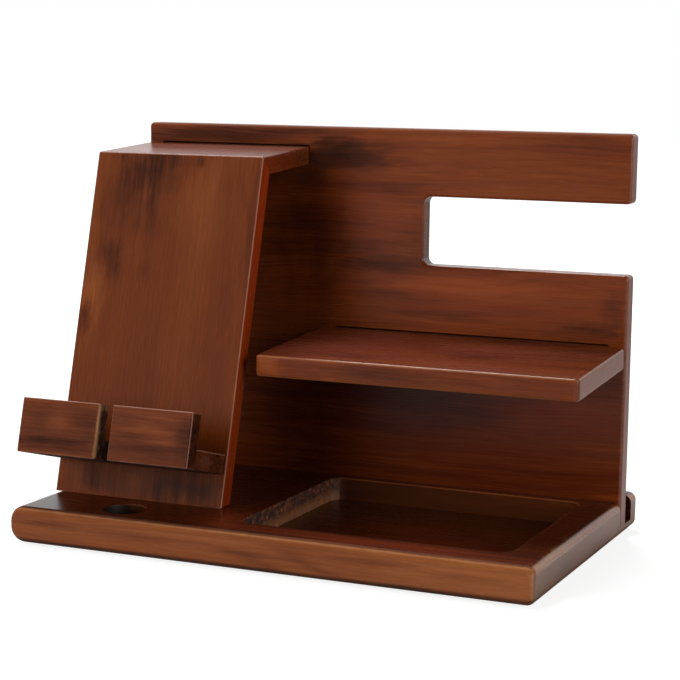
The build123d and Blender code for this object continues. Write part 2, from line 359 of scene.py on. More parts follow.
def make_torn_grain():
    """Wood torn by a cutter across its grain: lumpy, with pale specks."""
    given = {"Vector": (0, 0, 0)}
    tree, start, end = start_group("torn_grain", given, ("Shade", "Specks"))
    lump = noise(tree, start["Vector"], (420, 420, 260), 4.0, 0.7).outputs[0]
    specks = noise(tree, start["Vector"], (520, 520, 380), 3.0, 0.6).outputs[0]
    tree.links.new(lump, end["Shade"])
    tree.links.new(ease(tree, specks, *SPECKS_SHOW), end["Specks"])
    return tree


wood_grain = make_wood_grain()
soft_patch = make_patch()
inside_box = make_inside()
arris_wear_and_highlight = make_arris()
torn_grain = make_torn_grain()


def new_material(name):
    """A node material with its Principled shader."""
    material = bpy.data.materials.new(name)
    material.use_nodes = True
    return material, material.node_tree, material.node_tree.nodes["Principled BSDF"]


def own_place(tree, origin, tilt):
    """Position in a board's own frame, which is tilted about X and starts at its origin."""
    inputs = {
        "Vector": add(tree, "ShaderNodeTexCoord").outputs["Object"],
        "Location": metres(origin),
        "Rotation": (math.radians(tilt), 0, 0),
    }
    return add(tree, "ShaderNodeMapping", inputs, vector_type="TEXTURE").outputs[0]


def turned_up(tree, place):
    """The same position with Z and X swapped, for grain that runs up the board."""
    x, y, z = add(tree, "ShaderNodeSeparateXYZ", {"Vector": place}).outputs
    return add(tree, "ShaderNodeCombineXYZ", {"X": z, "Y": y, "Z": x}).outputs[0]


# Varnish: its refraction, how much its roughness varies, the depth of its ripples in millimetres
# and how strongly they show, and what a pale stroke does to the colour under it
VARNISH_IOR = 1.42
VARNISH_SPREAD = 0.12
VARNISH_RIPPLE = 0.2
VARNISH_RIPPLE_STRENGTH = 0.1
STROKE_TINT = (1.9, 1.7, 1.3)


def ripple(tree, shader, height, strength, depth):
    """Unevenness that only the light shows, its depth in millimetres."""
    inputs = {"Strength": strength, "Distance": depth * MM, "Height": height}
    bump = add(tree, "ShaderNodeBump", inputs)
    tree.links.new(bump.outputs[0], shader.inputs["Normal"])


def varnished_wood(
    name,
    tones,
    origin=(0, 0, 0),
    tilt=0.0,
    upright=False,
    seed=(0, 0, 0),
    figure=0.4,
    bands=0.3,
    lines=0.15,
    streaks=0.3,
    strokes=0.45,
    patches=(),
    stains_and_painted_light=(),
    edges=(),
    matt_places_and_painted_light=(),
    top=None,
    roughness=0.30,
):
    """Stained and varnished wood, with its marks in millimetres in the board's own frame.
    Its seed shifts the grain, so that no two boards look alike.
    Patches are (centre, size, change of shade). Stains are (centre, size, colour, strength).
    Some patches and stains are painted shade, shadow, sheen and light.
    Edges are (low corner, high corner, width, colour, strength): worn arrises, with painted highlights along
    them.
    Matt places are (low corner, high corner, colour, strength, roughness). Their colour is painted
    shade in slots and under blocks, a painted highlight on some arrises, and own tone on end faces.
    Top is (height where it starts, height where it is full, change of shade)."""
    material, tree, shader = new_material(name)
    place = own_place(tree, origin, tilt)
    along = turned_up(tree, place) if upright else place
    along = vectors(tree, "ADD", along, metres(seed))
    inputs = {"Vector": along, "Figure": figure, "Bands": bands, "Lines": lines, "Streaks": streaks}
    grain = place_group(tree, wood_grain, inputs)

    def patch(centre, size):
        inputs = {"Vector": place, "Centre": metres(centre), "Size": metres(size), "Fibre": grain["Fibre"]}
        return place_group(tree, soft_patch, inputs)["Mask"]

    shade = grain["Shade"]
    for centre, size, change in patches:
        shade = maths(tree, "MULTIPLY_ADD", patch(centre, size), change, shade)
    if top:
        low, high, change = top
        height = add(tree, "ShaderNodeSeparateXYZ", {"Vector": place}).outputs["Z"]
        raised = ease_over(tree, height, low, high)
        shade = maths(tree, "MULTIPLY_ADD", raised, change, shade)

    colour = ramp(tree, shade, tones)
    lighter = blend(tree, 1.0, colour, STROKE_TINT, "MULTIPLY")
    colour = blend(tree, maths(tree, "MULTIPLY", grain["Strokes"], strokes), colour, lighter)
    for centre, size, mark_colour, strength in stains_and_painted_light:
        colour = blend(tree, maths(tree, "MULTIPLY", patch(centre, size), strength), colour, mark_colour)
    # Arris colours: wear, with painted highlights along the arrises
    for low, high, width, arris_colour, strength in edges:
        inputs = {"Vector": place, "Low": metres(low), "High": metres(high), "Width": width * MM}
        mask = place_group(tree, arris_wear_and_highlight, inputs)["Mask"]
        colour = blend(tree, maths(tree, "MULTIPLY", mask, strength), colour, arris_colour)

    sheen = maths(tree, "MULTIPLY_ADD", grain["Height"], VARNISH_SPREAD, roughness - VARNISH_SPREAD / 2)
    # Matt places: rougher varnish, with painted shade, painted highlights and own tones as their colour
    for low, high, place_colour, strength, rough in matt_places_and_painted_light:
        inputs = {"Vector": place, "Low": metres(low), "High": metres(high)}
        mask = place_group(tree, inside_box, inputs)["Mask"]
        colour = blend(tree, maths(tree, "MULTIPLY", mask, strength), colour, place_colour)
        sheen = maths(tree, "MAXIMUM", sheen, maths(tree, "MULTIPLY", mask, rough))
    tree.links.new(colour, shader.inputs["Base Color"])
    tree.links.new(sheen, shader.inputs["Roughness"])
    shader.inputs["IOR"].default_value = VARNISH_IOR
    ripple(tree, shader, grain["Height"], VARNISH_RIPPLE_STRENGTH, VARNISH_RIPPLE)
    return material


# Faces that look to the front: where the middle of their marks lies in Y, and how deep they go
BASE_FACE = (BASE_LOW[Y], 20)
PANEL_FACE = (60, 30)
BACKREST_FACE = (0, 20)
LIP_FACE = (LIP_FRONT, 20)

# A thin mark with its middle so far outside a face colours that face alone
OUTSIDE = 0.6


def on_face(face, *marks):
    """Marks on a face that looks to the front, given as (x, z, width, height, and the rest)."""
    y, depth = face
    return tuple(((x, y, z), (width, depth, height), *rest) for x, z, width, height, *rest in marks)


# Tones of the stain, from dark to light

DARK = (0.014, 0.004, 0.002)
BROWN = (0.062, 0.012, 0.002)
RED_BROWN = (0.158, 0.029, 0.004)
ORANGE_BROWN = (0.340, 0.080, 0.012)

PANEL_TONES = ((0.0, DARK), (0.28, BROWN), (0.50, RED_BROWN), (1.0, ORANGE_BROWN))
BASE_TONES = ((0.0, (0.052, 0.009, 0.003)), (0.45, (0.215, 0.055, 0.013)), (1.0, (0.40, 0.13, 0.035)))
STAND_TONES = ((0.0, (0.035, 0.009, 0.004)), (0.45, (0.140, 0.027, 0.003)), (1.0, (0.29, 0.075, 0.010)))
REST_TONES = ((0.0, (0.030, 0.008, 0.004)), (0.5, (0.128, 0.027, 0.006)), (1.0, (0.29, 0.072, 0.014)))

# How much the roughness of an unvarnished surface varies
MATT_SPREAD = 0.2


def plain_material(name, tones, roughness, metallic):
    """A hidden or small part's finish: fine mottling over one tone."""
    material, tree, shader = new_material(name)
    place = add(tree, "ShaderNodeTexCoord").outputs["Object"]
    mottle = noise(tree, place, (600, 600, 600), 3.0).outputs[0]
    uneven = maths(tree, "MULTIPLY_ADD", mottle, MATT_SPREAD, roughness - MATT_SPREAD / 2)
    tree.links.new(ramp(tree, mottle, tones), shader.inputs["Base Color"])
    tree.links.new(uneven, shader.inputs["Roughness"])
    shader.inputs["Metallic"].default_value = metallic
    return material


def dress(material, *nodes):
    """Gives CAD nodes their material."""
    for name in nodes:
        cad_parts[name].material_slots[0].material = material


# Arris colours stand for worn arrises, which show the wood under the stain, and for painted highlights
# along them. A far corner keeps an edge out of the wear and the painted highlight.
FAR = 500
PALE_ARRIS = (0.42, 0.20, 0.14)
ORANGE_ARRIS = (0.46, 0.20, 0.08)
RED_ARRIS = (0.24, 0.08, 0.04)

# Base board, darker on top than on its sides, with painted shade along its bottom front edge and left
# end, a painted shadow of the stand on its top and a faint painted highlight on its front arris
base_wood = varnished_wood(
    "base_wood",
    BASE_TONES,
    seed=(40, 10, 30),
    strokes=0.3,
    patches=(
        *on_face(
            BASE_FACE,
            (62, 15, 50, 2.5, -0.20),
            (117, 12.5, 30, 3, -0.20),
            (-121, 14, 24, 3, -0.20),
            (-72, 13, 30, 3, -0.18),
            (0, 11, 40, 2, -0.18),
            (120, 14, 60, 10, 0.22),
            (-30, 17, 60, 2, 0.12),
        ),
        # Painted shadow of the stand and phone rest on the top in front of them
        ((-85, -80, 22), (62, 30, 6), -0.22),
        ((140, 10, 22), (10, 50, 6), -0.15),
        ((150, -45, 10), (3, 18, 5), -0.30),
        ((150, 15, 8), (3, 24, 5), -0.25),
    ),
    stains_and_painted_light=(
        ((60, -84, 22), (110, 9, 3), (0.19, 0.024, 0.003), 0.75),
        ((-30, -72, 22), (26, 30, 3), (0.15, 0.020, 0.003), 0.55),
        # Painted shade along the rounded bottom edge of the front, and on the left end's front corner
        ((0, -95, 3.4), (400, 30, 2.4), (0.03, 0.012, 0.008), 0.85),
        ((-150, -95, 10), (2.5, 30, 12), (0.03, 0.012, 0.008), 0.8),
        ((150, -60, 20), (5, 50, 5), (0.36, 0.17, 0.06), 0.7),
        ((150, 50, 20), (4, 40, 4), (0.30, 0.13, 0.05), 0.5),
    ),
    edges=(((*BASE_LOW[:2], -FAR), (BASE_HIGH[X], FAR, BASE_TOP), 2.0, ORANGE_ARRIS, 0.6),),
    matt_places_and_painted_light=(
        # Faint painted highlight on the rounded front top arris, under rougher varnish
        ((-FAR, -96, 18.5), (FAR, -91.5, 23), ORANGE_ARRIS, 0.1, 1.0),
        ((149.2, -94, 0), (151, 96, 18), (0.13, 0.082, 0.050), 0.65, 0.4),
    ),
    top=(20.6, 21.9, -0.50),
)

# Back panel, with painted shade inside its slots and under the shelf, and a painted shadow beside the stand
panel_wood = varnished_wood(
    "panel_wood",
    PANEL_TONES,
    bands=0.25,
    lines=0.1,
    patches=on_face(
        PANEL_FACE,
        (-15, 209, 38, 11, -0.33),
        (7, 192, 34, 5, -0.22),
        (8, 148, 40, 8, -0.30),
        (55, 148.5, 38, 4, -0.22),
        (17, 131, 42, 5, -0.16),
        (45, 121, 40, 4, -0.20),
        (142, 130, 9, 12, -0.22),
        (-25, 167, 14, 18, -0.10),
        (5, 168, 26, 20, 0.10),
        (60, 137, 66, 8, 0.26),
        (46, 220, 44, 3, 0.15),
        # Painted shade under the shelf, on this line and the next two
        (60, 28, 160, 12, -0.20),
        (20, 75, 90, 26, -0.30),
        (110, 85, 60, 12, -0.15),
        (-95, 219, 80, 10, -0.31),
        (-28, 212, 20, 14, -0.20),
        (130, 118, 24, 5, -0.18),
    ),
    stains_and_painted_light=(
        *on_face(
            PANEL_FACE,
            # Painted shade under the shelf, over the lower panel
            (60, 45, 240, 70, (0.070, 0.007, 0.001), 0.65),
            (118, 72, 50, 18, (0.22, 0.022, 0.002), 0.40),
            (60, 137, 140, 20, (0.24, 0.034, 0.002), 0.42),
            # Painted shadow beside the stand and under the cap, on this line and the next
            (-38, 168, 34, 54, (0.042, 0.006, 0.002), 0.75),
            (-48, 203, 34, 14, (0.060, 0.020, 0.010), 0.45),
            (-5, 178, 40, 26, (0.20, 0.028, 0.003), 0.35),
        ),
        ((150, 70.8, 95), (3, 1.1, 110), (0.02, 0.01, 0.006), 0.9),
        ((29.2, 67.0, 168), (3, 1.3, 60), (0.02, 0.01, 0.006), 0.7),
    ),
    edges=((PANEL_LOW, PANEL_HIGH, 1.3, RED_ARRIS, 0.6),),
    matt_places_and_painted_light=(
        # Painted shade inside the shelf's slot and the cap's slot
        ((SHELF_LOW[X], 60, 96), (SHELF_HIGH[X] - 2, 71, 112), DARK, 1.0, 1.0),
        ((STAND_LEFT, 60, 200), (STAND_RIGHT + 4, 71, 217), DARK, 1.0, 1.0),
        ((-FAR, 61, 225.7), (149, 70, 227), (0.20, 0.07, 0.03), 0.6, 0.5),
        ((-FAR, 58, 224.3), (FAR, 61, 227), RED_ARRIS, 0.3, 0.8),
        ((149.3, 60.4, 0), (FAR, 71.6, 240), (0.19, 0.062, 0.034), 0.7, 0.42),
    ),
)

# Shelf, with painted shade on its tongue and a painted sheen on its top
shelf_wood = varnished_wood(
    "shelf_wood",
    PANEL_TONES,
    origin=SHELF_ORIGIN,
    tilt=SHELF_DROOP,
    seed=(200, 50, 90),
    patches=(
        ((40, -60, 0), (120, 60, 4), 0.06),
        ((19, -72, 0), (24, 9, 10), -0.25),
        ((80, -50, 0), (30, 12, 10), -0.22),
        ((70, -5, 0), (60, 12, 10), -0.15),
        ((-14, -48, 0), (24, 16, 10), 0.20),
        ((8, -83, 0), (22, 7, 10), 0.20),
        ((-28, -88, -5), (14, 4, 12), 0.25),
        ((35, -88, -6), (60, 4, 7), -0.12),
    ),
    stains_and_painted_light=(
        # Painted sheen on the top, over a redder tone on this line and alone on the next
        ((60, -45, 0), (150, 45, 4), (0.17, 0.026, 0.024), 0.45),
        ((-5, -50, 0), (50, 60, 4), (0.25, 0.060, 0.055), 0.3),
    ),
    edges=((SHELF_LOW, SHELF_HIGH, 1.2, ORANGE_ARRIS, 0.45),),
    matt_places_and_painted_light=(
        # Painted shade on the tongue, which sits in the panel's slot
        ((-60, 0.3, -20), (200, 30, 5), DARK, 0.5, 1.0),
        ((149.4, -87, -11.6), (FAR, 0, -0.4), (0.21, 0.070, 0.030), 0.6, 0.38),
    ),
)

# Backrest, with its grain upright, a red right side that is partly painted light, and a painted shadow
# of the ledge on its foot
backrest_wood = varnished_wood(
    "backrest_wood",
    STAND_TONES,
    origin=BACKREST_FOOT,
    tilt=-BACKREST_LEAN,
    upright=True,
    seed=(300, 150, 40),
    figure=0.5,
    bands=0.12,
    lines=0.05,
    streaks=0.15,
    patches=on_face(
        BACKREST_FACE,
        (-112, 183, 22, 16, -0.32),
        (-127, 168, 20, 30, -0.26),
        (-108, 194, 36, 9, -0.20),
        (-108, 160, 10, 20, -0.18),
        (-131, 136, 12, 12, -0.26),
        (-126, 126, 8, 8, -0.16),
        (-108, 128, 8, 7, -0.12),
        (-143, 100, 5, 12, -0.40),
        (-81, 191, 5, 5, -0.35),
        (-45, 150, 6, 60, -0.20),
        # Painted shadow of the ledge on the foot, on this line and the next two
        (-125, 12, 8, 14, -0.30),
        (-62, 8, 32, 15, -0.42),
        (-110, 5, 50, 9, -0.20),
        (-80, 168, 18, 36, 0.12),
        (-141, 112, 10, 26, 0.20),
        (-98, 9, 8, 10, 0.25),
        (-133, 8, 7, 11, 0.20),
    ),
    stains_and_painted_light=(
        # Painted shadow of the ledge on the foot
        ((-85, 0, 14), (58, 20, 16), (0.05, 0.018, 0.009), 0.4),
        # Red right side: the side's own tone, and partly painted light from the right
        ((STAND_RIGHT + OUTSIDE, 5, 97), (1.3, 60, 300), (0.34, 0.032, 0.002), 0.92),
    ),
    edges=(((STAND_LEFT, 0, -FAR), (STAND_RIGHT, FAR, BACKREST_LENGTH), 0.8, PALE_ARRIS, 0.7),),
    # Painted highlight on the right front arris, under rougher varnish
    matt_places_and_painted_light=(((STAND_RIGHT - 0.6, -1, -FAR), (FAR, 0.6, FAR), PALE_ARRIS, 0.3, 1.0),),
)

# Cap, with painted shade on its tongue, a painted sheen on its top, and a red right side that is partly
# painted light
cap_wood = varnished_wood(
    "cap_wood",
    STAND_TONES,
    origin=CREST,
    tilt=CAP_SLOPE,
    seed=(30, 350, 140),
    streaks=0.2,
    patches=(
        ((STAND_RIGHT, 45, -5), (4, 26, 12), -0.2),
        # Painted sheen on the top, lighter
        ((-95, 25, 0), (90, 60, 3), 0.15),
    ),
    stains_and_painted_light=(
        # Red right side: the side's own tone, and partly painted light from the right
        ((STAND_RIGHT + OUTSIDE, 15, -5), (1.3, 40, 30), (0.20, 0.020, 0.004), 0.85),
        # Painted sheen on the top
        ((-95, 25, 0), (100, 80, 3), (0.26, 0.065, 0.060), 0.35),
    ),
    # Painted shade on the tongue, which sits in the panel's slot
    matt_places_and_painted_light=(((-200, 60.4, -20), (0, 90, 5), DARK, 0.5, 1.0),),
)

# Lip blocks and ledge, with painted shade underneath
lip_wood = varnished_wood(
    "lip_wood",
    REST_TONES,
    origin=REST_ORIGIN,
    tilt=-BACKREST_LEAN,
    seed=(30, 450, 240),
    figure=0.5,
    patches=(
        *on_face(
            LIP_FACE,
            (-125, 7, 36, 6, -0.38),
            (-108, 18, 14, 10, -0.25),
            (-137, 15, 9, 16, -0.15),
            (-126, 20, 12, 7, 0.10),
            (-124, 0, 40, 2, 0.25),
            (-80, 14, 14, 3, -0.25),
            (-67, 7, 36, 5, -0.22),
            (-68, 20, 18, 8, 0.18),
            (-60, 12, 14, 2, 0.20),
            (-48, 15, 7, 16, -0.28),
        ),
        ((LIP_RIGHT, -38, 15), (2, 20, 40), -0.30),
    ),
    stains_and_painted_light=(((GAP_LEFT - 0.2, LIP_FRONT, 15), (1.1, 3, 40), (0.36, 0.17, 0.06), 0.8),),
    edges=(
        ((LIP_LEFT, LIP_FRONT, 0), (FAR, FAR, LIP_HEIGHT), 0.6, PALE_ARRIS, 0.45),
        ((GAP_RIGHT, LIP_FRONT, 0), (LIP_RIGHT, FAR, LIP_HEIGHT), 0.6, PALE_ARRIS, 0.55),
    ),
    matt_places_and_painted_light=(
        # Painted shade underneath, and a painted highlight on the right lip's right front arris, under
        # rougher varnish
        ((-200, -60, -4), (0, 0, 0.4), DARK, 0.6, 1.0),
        ((LIP_RIGHT - 0.5, -60, -4), (FAR, LIP_FRONT + 0.5, FAR), PALE_ARRIS, 0.2, 1.0),
    ),
)
ledge_wood = varnished_wood(
    "ledge_wood",
    REST_TONES,
    origin=REST_ORIGIN,
    tilt=-BACKREST_LEAN,
    seed=(90, 410, 340),
    patches=(((LIP_RIGHT, -16, 5), (3, 40, 30), -0.3),),
    stains_and_painted_light=(((LIP_RIGHT + 0.3, -22, 5), (3, 9, 5), (0.16, 0.05, 0.035), 0.6),),
    edges=(((-FAR, -FAR, -FAR), (LIP_RIGHT, FAR, LEDGE_THICKNESS), 0.8, PALE_ARRIS, 0.6),),
    # Painted shade underneath
    matt_places_and_painted_light=(((-200, -60, -4), (0, 12, 0.4), DARK, 0.6, 1.0),),
)


# Torn wood: its roughness, the depth of its lumps in millimetres and how strongly they show, and
# how far, in millimetres, they move the edge of its pale rim
TORN_ROUGHNESS = 0.7
TORN_RIPPLE = 0.3
TORN_RIPPLE_STRENGTH = 0.5
RIM_UNEVEN = 6.0


def torn_wood(name, tones, speck_colour, specks, origin=(0, 0, 0), tilt=0.0, rim=None):
    """Bare or thinly stained wood that a saw or a router has torn.
    Its rim is (axis, where it is full, where it ends, strength) of a pale edge, in millimetres."""
    material, tree, shader = new_material(name)
    place = own_place(tree, origin, tilt)
    torn = place_group(tree, torn_grain, {"Vector": place})
    colour = ramp(tree, torn["Shade"], tones)
    amount = maths(tree, "MULTIPLY", torn["Specks"], specks)
    if rim:
        axis, full, end, strength = rim
        along = add(tree, "ShaderNodeSeparateXYZ", {"Vector": place}).outputs[axis]
        along = maths(tree, "MULTIPLY_ADD", about_zero(tree, torn["Shade"]), RIM_UNEVEN * MM, along)
        pale = maths(tree, "MULTIPLY", ease_over(tree, along, end, full), strength)
        amount = maths(tree, "MAXIMUM", amount, pale)
    uneven = maths(tree, "MULTIPLY_ADD", torn["Shade"], MATT_SPREAD, TORN_ROUGHNESS - MATT_SPREAD / 2)
    tree.links.new(blend(tree, amount, colour, speck_colour), shader.inputs["Base Color"])
    tree.links.new(uneven, shader.inputs["Roughness"])
    ripple(tree, shader, torn["Shade"], TORN_RIPPLE_STRENGTH, TORN_RIPPLE)
    return material


TORN_TONES = ((0.42, (0.014, 0.004, 0.001)), (0.55, (0.080, 0.018, 0.004)), (0.72, (0.24, 0.070, 0.018)))
ROUTED_TONES = ((0.0, (0.008, 0.003, 0.001)), (0.5, (0.056, 0.012, 0.002)), (1.0, (0.21, 0.052, 0.010)))
TRAY_FLOOR_TONES = ((0.0, (0.014, 0.004, 0.002)), (0.5, (0.044, 0.009, 0.002)), (1.0, (0.12, 0.024, 0.004)))
SAWN_TONES = ((0.3, (0.010, 0.005, 0.003)), (0.55, (0.05, 0.022, 0.010)), (0.8, (0.15, 0.08, 0.03)))
CHIPPED_TONES = ((0.4, (0.026, 0.013, 0.009)), (0.52, (0.13, 0.060, 0.034)), (0.7, (0.42, 0.23, 0.12)))

# Where the cutter ran: the tray's torn wall, its floor, the recess and the groove. Where the saw
# ran: the gap in the ledge and the blocks' ends.
torn_wall_wood = torn_wood(
    "torn_wall_wood",
    TORN_TONES,
    (0.42, 0.16, 0.055),
    0.5,
    rim=("Z", TRAY_LOW[Z] + 2, TRAY_LOW[Z] + 8, 0.4),
)
routed_wood = varnished_wood(
    "routed_wood",
    ROUTED_TONES,
    seed=(10, 200, 60),
    # Painted shade in the recess
    patches=(((*RECESS_PLACE, 14), (40, 40, 30), -0.7),),
    top=(21.1, 21.7, 0.35),
    roughness=0.55,
)
sawn_wood = torn_wood("sawn_wood", SAWN_TONES, (0.30, 0.18, 0.09), 0.4, REST_ORIGIN, -BACKREST_LEAN)
chipped_wood = torn_wood(
    "chipped_wood",
    CHIPPED_TONES,
    (0.38, 0.19, 0.07),
    0.5,
    REST_ORIGIN,
    -BACKREST_LEAN,
    rim=("Y", LIP_FRONT + 0.6, LIP_FRONT + 2.4, 0.9),
)
tray_floor_wood = varnished_wood(
    "tray_floor_wood",
    TRAY_FLOOR_TONES,
    seed=(70, 90, 20),
    patches=(((70, -50, 9), (80, 40, 8), 0.2),),
    stains_and_painted_light=(((80, -35, 9), (85, 60, 8), (0.110, 0.013, 0.002), 0.6),),
    strokes=0.15,
)
groove_wood = varnished_wood("groove_wood", TRAY_FLOOR_TONES, seed=(170, 290, 20))

# Dowels, screws and foot pads
beech = plain_material("dowel_beech", ((0.2, (0.45, 0.30, 0.17)), (0.8, (0.60, 0.44, 0.27))), 0.6, 0.0)
zinc = plain_material("screw_zinc", ((0.2, (0.50, 0.48, 0.42)), (0.8, (0.62, 0.60, 0.54))), 0.35, 1.0)
rubber = plain_material("pad_rubber", ((0.2, (0.012, 0.012, 0.012)), (0.8, (0.025, 0.025, 0.025))), 0.8, 0.0)

dress(panel_wood, "back_panel")
dress(shelf_wood, "shelf_board")
dress(backrest_wood, "backrest_board")
dress(cap_wood, "cap_board")
dress(beech, "mitre_dowels", "lip_dowels")
dress(zinc, "panel_screws")
dress(rubber, "foot_pad_front_left", "foot_pad_front_right", "foot_pad_rear_left", "foot_pad_rear_right")


# Shaping with Blender's own tools, in millimetres


def pick(piece):
    """Selects a piece alone, and makes it the active one."""
    bpy.ops.object.select_all(action="DESELECT")
    piece.select_set(True)
    bpy.context.view_layer.objects.active = piece


def choose(piece, kind, test):
    """Edit mode, with only those faces or edges selected that pass a test on them and their middle."""
    pick(piece)
    bpy.ops.object.mode_set(mode="EDIT")
    bpy.ops.mesh.select_mode(type=kind)
    bpy.ops.mesh.select_all(action="DESELECT")
    shape = bmesh.from_edit_mesh(piece.data)
    for part in shape.faces if kind == "FACE" else shape.edges:
        middle = sum((corner.co for corner in part.verts), Vector()) / len(part.verts)
        if test(part, middle / MM):
            part.select_set(True)
    bmesh.update_edit_mesh(piece.data)


def leave_edit():
    """Back to object mode."""
    bpy.ops.object.mode_set(mode="OBJECT")


def settle(piece, name, material):
    """A new primitive gets its name and material, and its place goes into its mesh."""
    piece.name = name
    piece.data.name = name
    piece.data.materials.append(material)
    bpy.ops.object.transform_apply(location=True, rotation=True, scale=True)
    return piece


def block(name, low, high, material):
    """A square block between two corners, to be shaped further."""
    bpy.ops.object.select_all(action="DESELECT")
    bpy.ops.mesh.primitive_cube_add(size=1, location=(metres(low) + metres(high)) / 2)
    bpy.context.object.scale = metres(high) - metres(low)
    return settle(bpy.context.object, name, material)


def rod(name, start, radius, length, material, turn=(0, 0, 0), sides=BORE_SIDES):
    """A round bar that starts at a place and runs along Z, or as turned, in degrees."""
    bpy.ops.object.select_all(action="DESELECT")
    spin = Euler([math.radians(angle) for angle in turn])
    run = Vector((0, 0, length * MM / 2))
    run.rotate(spin)
    bpy.ops.mesh.primitive_cylinder_add(
        vertices=sides, radius=radius * MM, depth=length * MM, location=metres(start) + run, rotation=spin
    )
    return settle(bpy.context.object, name, material)


def round_edges(piece, test, radius, segments):
    """Rounds the edges that pass a test on the edge and its middle."""
    choose(piece, "EDGE", test)
    bpy.ops.mesh.bevel(offset=radius * MM, segments=segments, affect="EDGES")
    leave_edit()


def runs_along(edge, axis):
    """Whether an edge runs along an axis."""
    run = edge.verts[1].co - edge.verts[0].co
    return abs(run[axis]) > STRAIGHT * run.length


def draw_up(tool, height, centre, steps):
    """Draws a tool's top face up in steps: a rise, then how much wider it gets in X and in Y."""
    choose(tool, "FACE", lambda face, middle: face.normal.z > ROUGHLY and abs(middle.z - height) < NEAR)
    for rise, wider_x, wider_y in steps:
        bpy.ops.mesh.extrude_region_move(TRANSFORM_OT_translate={"value": (0, 0, rise * MM)})
        bpy.ops.transform.resize(value=(wider_x, wider_y, 1), center_override=metres(centre))
    leave_edit()


def rim_steps(width, length=None, front=True):
    """Steps that give a pocket a rounded rim, and then run out of the wood. Without a length, the
    rim leaves out the pocket's ends. It can leave out its front too, which then holds still."""
    steps = []
    rise = reach = 0.0
    for step in range(1, RIM_STEPS + 1):
        angle = math.radians(90 * step / RIM_STEPS)
        up, out = RIM * math.sin(angle), RIM * (1 - math.cos(angle))
        share = 2 if front else 1
        wider_x = (length + share * out) / (length + share * reach) if length else 1
        wider_y = (width + share * out) / (width + share * reach)
        steps.append((up - rise, wider_x, wider_y))
        rise, reach = up, out
    return steps + [(OVERRUN, 1, 1)]


def tear(piece, test, axis, cuts, depth, fade, seed):
    """Tears up flat faces: subdivides them and moves their inner points along an axis, by up to
    the depth given. The movement fades out over a distance from their outline."""
    choose(piece, "FACE", test)
    bpy.ops.mesh.subdivide(number_cuts=cuts)
    leave_edit()
    chosen = [vertex for vertex in piece.data.vertices if vertex.select]
    low = [min(vertex.co[side] for vertex in chosen) for side in range(3)]
    high = [max(vertex.co[side] for vertex in chosen) for side in range(3)]
    sides = [side for side in range(3) if side != axis]
    for vertex in chosen:
        place = vertex.co.copy()
        near = min(min(place[side] - low[side], high[side] - place[side]) for side in sides)
        hold = min(near / (fade * MM), 1)
        coarse = lumps.noise(place * COARSE_TEAR + Vector(seed))
        fine = lumps.noise(place * FINE_TEAR + Vector(seed))
        vertex.co[axis] += hold * depth * MM * (COARSE_SHARE * coarse + FINE_SHARE * fine)


def carve(piece, tool, operation="DIFFERENCE"):
    """Cuts a tool out of the piece, or joins it on. The new faces keep the tool's material."""
    pick(piece)
    change = piece.modifiers.new("carve", "BOOLEAN")
    change.operation = operation
    change.object = tool
    change.solver = "EXACT"
    change.material_mode = "TRANSFER"
    bpy.ops.object.modifier_apply(modifier=change.name)
    bpy.data.objects.remove(tool)


def finish(piece, body, node):
    """Smooth shading, and the piece takes its CAD node's place on its body."""
    pick(piece)
    bpy.ops.object.shade_smooth_by_angle(angle=math.radians(SMOOTH_ANGLE))
    even = piece.modifiers.new("even_shading", "WEIGHTED_NORMAL")
    even.keep_sharp = True
    bpy.ops.object.modifier_apply(modifier=even.name)
    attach(piece, body)
    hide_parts(node)


# The base board: a rounded board with its tray, recess, groove and screw holes routed in


def make_tray_tool():
    """The cutter's path through the tray: its left wall comes out torn."""
    start = BASE_TOP - RIM
    tool = block("tray_tool", TRAY_LOW, (*TRAY_HIGH[:2], start), routed_wood)
    round_edges(tool, lambda edge, middle: runs_along(edge, Z), TRAY_CORNER, CORNER_STEPS)
    tool.data.materials.append(tray_floor_wood)
    tool.data.materials.append(torn_wall_wood)
    # Slot 0 is the routed wood, 1 the floor's and 2 the left wall's
    for face in tool.data.polygons:
        if face.normal.z < -ROUGHLY:
            face.material_index = 1
        elif face.normal.x < -PARTLY:
            face.material_index = 2
    centre = [(low + high) / 2 for low, high in zip(TRAY_LOW, TRAY_HIGH)]
    length = TRAY_HIGH[X] - TRAY_LOW[X]
    width = TRAY_HIGH[Y] - TRAY_LOW[Y]
    draw_up(tool, start, centre, rim_steps(width, length))

    def is_left_wall(face, middle):
        return face.normal.x < -STRAIGHT and middle.z < start

    tear(tool, is_left_wall, X, cuts=70, depth=0.9, fade=1.2, seed=(0, 0, 0))
    return tool


def make_recess_tool():
    """A round pocket with a rounded rim."""
    start = BASE_TOP - RIM
    place = (*RECESS_PLACE, RECESS_FLOOR)
    tool = rod("recess_tool", place, RECESS_RADIUS, start - RECESS_FLOOR, routed_wood, sides=RECESS_SIDES)
    draw_up(tool, start, place, rim_steps(2 * RECESS_RADIUS, 2 * RECESS_RADIUS))
    return tool


def make_groove_tool():
    """A groove from end to end, with a rounded rim at its rear only."""
    start = BASE_TOP - RIM
    low = (BASE_LOW[X] - OVERRUN, GROOVE_FRONT, GROOVE_FLOOR)
    tool = block("groove_tool", low, (BASE_HIGH[X] + OVERRUN, GROOVE_REAR, start), groove_wood)
    draw_up(tool, start, low, rim_steps(GROOVE_REAR - GROOVE_FRONT, front=False))
    return tool


